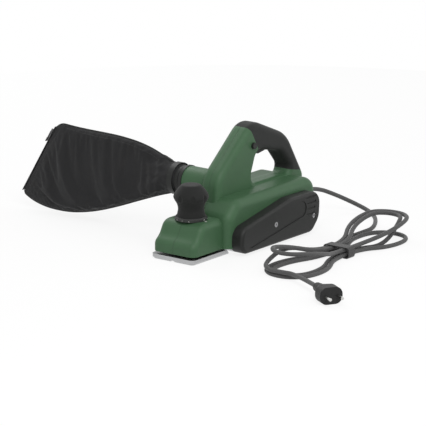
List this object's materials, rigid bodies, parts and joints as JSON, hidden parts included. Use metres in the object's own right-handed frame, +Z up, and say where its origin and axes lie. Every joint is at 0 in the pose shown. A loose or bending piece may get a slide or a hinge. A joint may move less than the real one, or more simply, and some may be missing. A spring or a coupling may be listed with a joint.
{
  "type": "electric hand planer",
  "caption": "Corded electric hand planer with a loop handle, turning depth knob, belt-driven cutter drum, fabric chip bag and a mains lead tied in a hank.",
  "frame": {"origin": "middle of the rear sole's working face", "axes": "+Z up, -X to the front of the tool, -Y to its left side with the belt cover, +Y to the chip bag"},
  "size_m": [0.4812, 0.7528, 0.1833],
  "materials": {
    "green_plastic": "satin moulded, fine grain",
    "soft_grip": "matt, ribbed",
    "cast_sole": "ground working face",
    "drum_alloy": "machined",
    "knife_steel": "ground edge",
    "steel": "plain",
    "black_plastic": "fine grain",
    "belt_rubber": "matt",
    "laminated_iron": "laminated",
    "copper": "turned",
    "carbon": "matt",
    "brass_sheet": "stamped",
    "scale_plastic": "matt with plain pale numbers",
    "bag_fabric": "woven, soft",
    "cord_jacket": "matt",
    "tie_plastic": "matt",
    "pin_metal": "nickel plated"
  },
  "bodies": {
    "base": {"housing_left": "green_plastic", "housing_right": "green_plastic", "handle_grip": "soft_grip", "rear_sole": "cast_sole", "drum_bearings": "steel", "drive_belt": "belt_rubber", "stator": "laminated_iron", "motor_bearings": "steel", "carbon_brushes": "carbon", "brush_holders": "brass_sheet", "belt_cover": "black_plastic", "housing_screws": "steel", "belt_cover_screws": "steel", "sole_screws": "steel", "trigger_pin": "steel", "switch_body": "black_plastic", "bag_adaptor": "black_plastic", "chip_bag": "bag_fabric", "bag_clamp": "black_plastic", "cord_guard": "soft_grip", "mains_cord": "cord_jacket", "cord_hank": "cord_jacket", "cord_tie": "tie_plastic", "plug_lead": "cord_jacket", "plug_body": "cord_jacket", "plug_pins": "pin_metal"},
    "shoe": {"front_shoe": "cast_sole"},
    "dial": {"depth_knob": "black_plastic", "depth_scale": "scale_plastic", "depth_spindle": "steel"},
    "drum": {"cutter_drum": "drum_alloy", "planer_knives": "knife_steel", "knife_clamps": "drum_alloy", "drum_pulley": "black_plastic"},
    "rotor": {"motor_shaft": "steel", "armature_core": "laminated_iron", "commutator": "copper", "cooling_fan": "black_plastic", "motor_pulley": "steel"},
    "trigger_lever": {"trigger": "black_plastic"},
    "lock": {"lock_button": "black_plastic"}
  },
  "joints": [
    {"name": "depth_turn", "type": "hinge", "parent": "base", "child": "dial", "pos_m": [-0.155, 0, 0.08], "axis": [0, 0, -1], "range_deg": [0, 300]},
    {"name": "shoe_lift", "type": "slide", "parent": "base", "child": "shoe", "axis": [0, 0, 1], "range_m": [0, 0.003]},
    {"name": "drum_spin", "type": "hinge", "parent": "base", "child": "drum", "pos_m": [-0.097, 0, 0.0235], "axis": [0, 1, 0], "continuous": true},
    {"name": "rotor_spin", "type": "hinge", "parent": "base", "child": "rotor", "pos_m": [0.032, 0, 0.046], "axis": [0, 1, 0], "continuous": true},
    {"name": "trigger_pull", "type": "hinge", "parent": "base", "child": "trigger_lever", "pos_m": [0.024, 0, 0.13949], "axis": [0, 1, 0], "range_deg": [0, 8], "stiffness_Nm_per_rad": 0.5},
    {"name": "lock_push", "type": "slide", "parent": "base", "child": "lock", "axis": [0, 1, 0], "range_m": [0, 0.0034], "stiffness_N_per_m": 500}
  ],
  "couplings": [
    {"joint": "depth_turn", "follows": "shoe_lift", "rad_per_m": 1745.3},
    {"joint": "rotor_spin", "follows": "drum_spin", "ratio": 1.6111}
  ]
}
